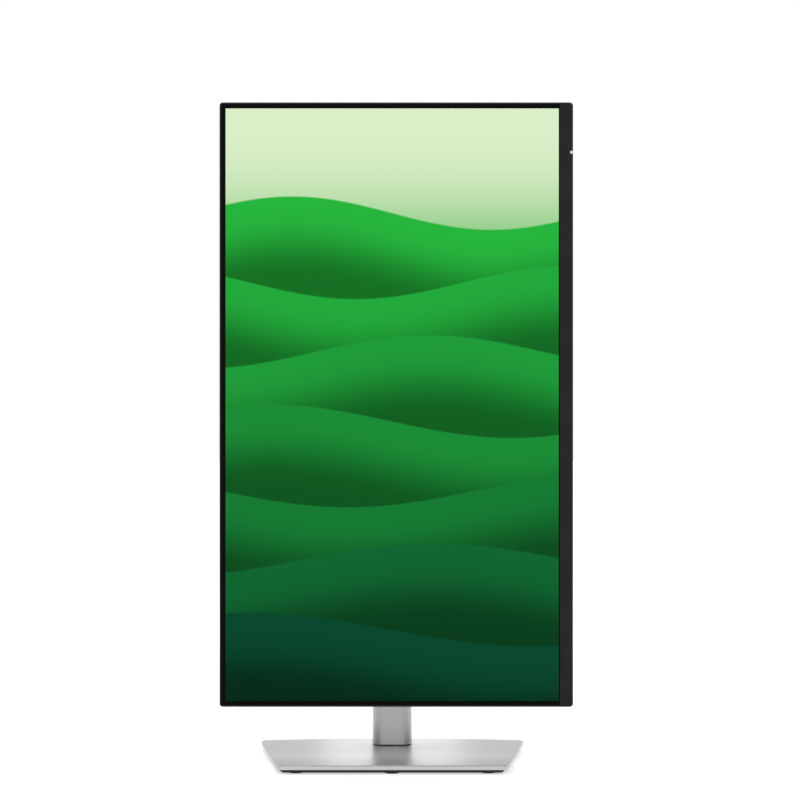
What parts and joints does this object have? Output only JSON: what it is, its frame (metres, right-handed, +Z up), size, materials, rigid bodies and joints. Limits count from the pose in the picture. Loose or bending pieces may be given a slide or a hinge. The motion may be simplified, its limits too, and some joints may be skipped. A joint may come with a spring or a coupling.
{
  "type": "computer monitor",
  "caption": "Flat wide-screen computer monitor, shown turned upright, on a square-section column stand with swivel, height, tilt and pivot movement and a flat base.",
  "frame": {"origin": "on the desk, on the swivel axis of the stand, in the middle of the ring pad under the base", "axes": "+X to the right seen from the front, -Y out of the screen towards the user, +Z up"},
  "size_m": [0.3149, 0.18, 0.5899],
  "materials": {
    "black_plastic": "satin",
    "chin_plastic": "satin",
    "screen_glass": "gloss",
    "optical_film": "satin",
    "light_guide": "polished",
    "steel": "brushed",
    "dark_steel": "satin",
    "silver_paint": "satin",
    "board_green": "satin",
    "flex_amber": "satin",
    "zinc_fastener": "satin",
    "lens": "polished",
    "spring_steel": "brushed",
    "cast_aluminium": "cast",
    "white_acetal": "satin",
    "rubber": "matte",
    "cable_black": "matte"
  },
  "bodies": {
    "base": {"base_cover": "silver_paint", "base_plate": "dark_steel", "base_tray": "black_plastic", "rubber_feet": "rubber", "centre_pad": "rubber", "swivel_hub": "steel", "swivel_nut": "zinc_fastener"},
    "clamp_screw": {"base_screw": "zinc_fastener"},
    "clamp_handle": {"ring_handle": "zinc_fastener"},
    "column": {"column_shell": "silver_paint", "column_cap": "black_plastic", "cable_trim": "black_plastic", "column_foot": "cast_aluminium", "guide_rails": "steel", "spring_strip": "spring_steel", "swivel_washers": "white_acetal"},
    "lift": {"carriage": "cast_aluminium", "carriage_glides": "white_acetal", "hinge_cover": "black_plastic", "tilt_nut": "zinc_fastener", "tilt_shaft": "zinc_fastener"},
    "spring": {"spring_coil": "spring_steel", "spring_drum": "white_acetal"},
    "tilt_head": {"tilt_bracket": "dark_steel", "pivot_rivet": "zinc_fastener", "pivot_washer": "white_acetal", "tilt_washers": "spring_steel"},
    "display": {"middle_frame": "black_plastic", "chin_strip": "chin_plastic", "led_lens": "lens", "lcd_cell": "screen_glass", "optical_films": "optical_film", "light_guide_plate": "light_guide", "reflector_sheet": "optical_film", "led_bar": "board_green", "panel_chassis": "steel", "cell_flexes": "flex_amber", "panel_driver_board": "board_green", "port_connectors": "zinc_fastener", "ac_inlet": "black_plastic", "main_board": "board_green", "power_board": "board_green", "inlet_leads": "cable_black", "board_standoffs": "zinc_fastener", "board_screws": "zinc_fastener", "board_shield": "steel", "vesa_nuts": "zinc_fastener", "video_cable": "cable_black", "led_cable": "cable_black", "rear_cover": "black_plastic", "cover_screws": "zinc_fastener", "control_board": "board_green", "latch_spring": "spring_steel", "quick_release_plate": "dark_steel"},
    "power_key": {"power_button": "black_plastic"},
    "stick_carrier": {"joystick_carrier": "white_acetal"},
    "stick_ring": {"joystick_gimbal": "white_acetal"},
    "stick_knob": {"joystick_knob": "black_plastic"},
    "release_key": {"release_button": "black_plastic"},
    "latch": {"release_latch": "white_acetal"}
  },
  "joints": [
    {"name": "swivel", "type": "hinge", "parent": "base", "child": "column", "pos_m": [0, 0, 0.016], "axis": [0, 0, 1], "range_deg": [-45, 45]},
    {"name": "height", "type": "slide", "parent": "column", "child": "lift", "axis": [0, 0, 1], "range_m": [-0.04, 0.0184]},
    {"name": "spring_turn", "type": "hinge", "parent": "lift", "child": "spring", "pos_m": [0, 0, 0.288], "axis": [1, 0, 0], "range_deg": [-105, 225]},
    {"name": "tilt", "type": "hinge", "parent": "lift", "child": "tilt_head", "pos_m": [0, -0.04, 0.321], "axis": [-1, 0, 0], "range_deg": [-5, 21]},
    {"name": "pivot", "type": "hinge", "parent": "tilt_head", "child": "display", "pos_m": [0, -0.054, 0.321], "axis": [0, 1, 0], "range_deg": [0, 180]},
    {"name": "power_button_press", "type": "slide", "parent": "display", "child": "power_key", "axis": [-1, 0, 0], "range_m": [0, 0.0008]},
    {"name": "joystick_press", "type": "slide", "parent": "display", "child": "stick_carrier", "axis": [0, -1, 0], "range_m": [0, 0.0007]},
    {"name": "joystick_up_down", "type": "hinge", "parent": "stick_carrier", "child": "stick_ring", "pos_m": [0.138, -0.0797, 0.5456], "axis": [0, 0, 1], "range_deg": [-6, 6]},
    {"name": "joystick_left_right", "type": "hinge", "parent": "stick_ring", "child": "stick_knob", "pos_m": [0.138, -0.0797, 0.5456], "axis": [-1, 0, 0], "range_deg": [-6, 6]},
    {"name": "release_press", "type": "slide", "parent": "display", "child": "release_key", "axis": [0, -1, 0], "range_m": [0, 0.003]},
    {"name": "latch_slide", "type": "slide", "parent": "display", "child": "latch", "axis": [1, 0, 0], "range_m": [0, 0.003]},
    {"name": "clamp_turn", "type": "hinge", "parent": "base", "child": "clamp_screw", "pos_m": [0, 0, 0.012], "axis": [0, 0, 1], "continuous": true},
    {"name": "handle_fold", "type": "hinge", "parent": "clamp_screw", "child": "clamp_handle", "pos_m": [0, 0, 0.0016], "axis": [-1, 0, 0], "range_deg": [0, 90]}
  ],
  "couplings": [
    {"joint": "spring_turn", "follows": "height", "rad_per_m": -95.24},
    {"joint": "latch_slide", "follows": "release_press", "ratio": 1}
  ]
}
